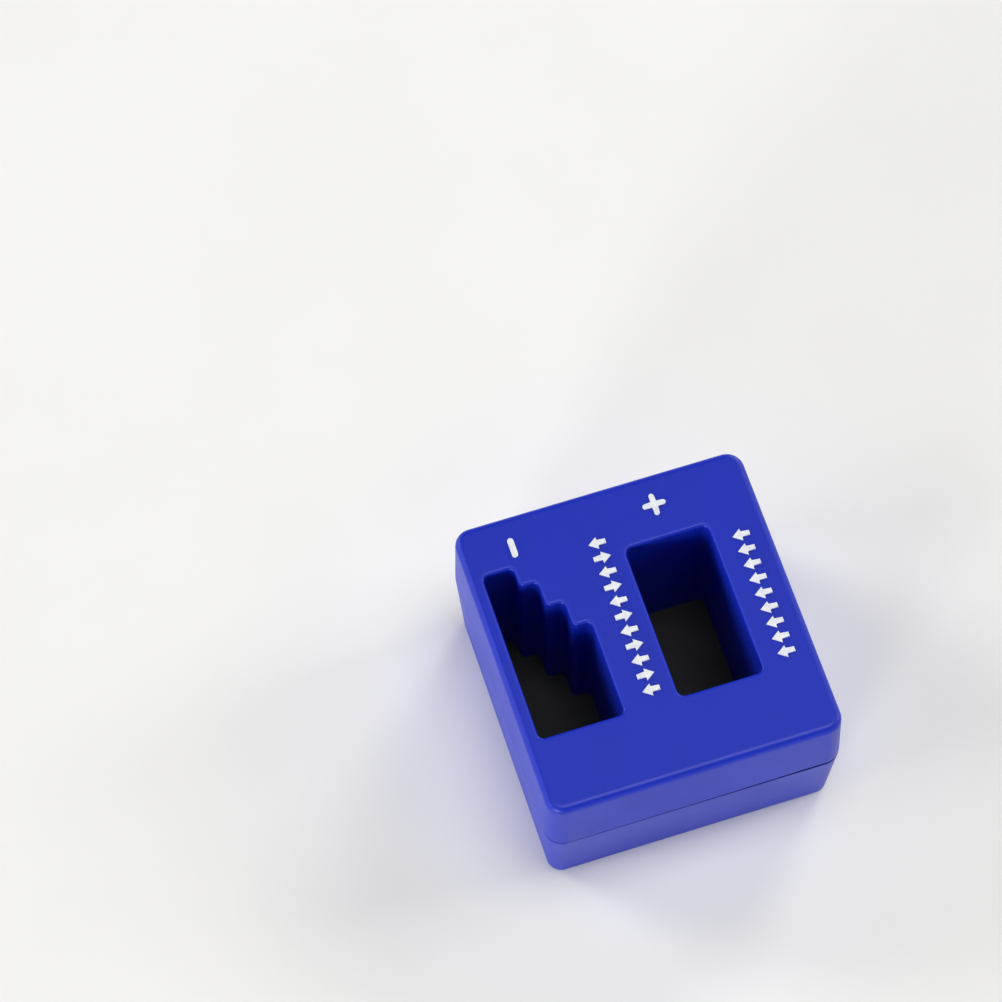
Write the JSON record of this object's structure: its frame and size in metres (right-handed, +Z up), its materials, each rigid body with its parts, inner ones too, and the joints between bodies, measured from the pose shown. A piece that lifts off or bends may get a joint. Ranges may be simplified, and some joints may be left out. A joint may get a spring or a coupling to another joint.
{
  "type": "tool demagnetizer block",
  "caption": "Bench block that magnetizes a blade in its rectangular well and demagnetizes it down a stepped slot, with ferrite bars inside a two-part moulded shell.",
  "frame": {"origin": "centre of the underside, on the surface that the block stands on", "axes": "+Z up out of the top face, +X from the stepped slot towards the magnetizing well, +Y from the front to the back, where the plus and minus are"},
  "size_m": [0.0492, 0.052, 0.0292],
  "materials": {
    "shell": "fine satin moulded blue ABS",
    "ferrite": "ground sintered hard ferrite, dark grey",
    "pad": "matt dark grey solid rubber sheet",
    "marks": "satin white enamel paint"
  },
  "bodies": {
    "root": {"upper_shell": "shell", "lower_shell": "shell", "centre_magnet": "ferrite", "outer_magnet": "ferrite", "base_pad": "pad", "plus_mark": "marks", "minus_mark": "marks", "well_legend": "marks", "slot_legend": "marks"}
  },
  "joints": []
}
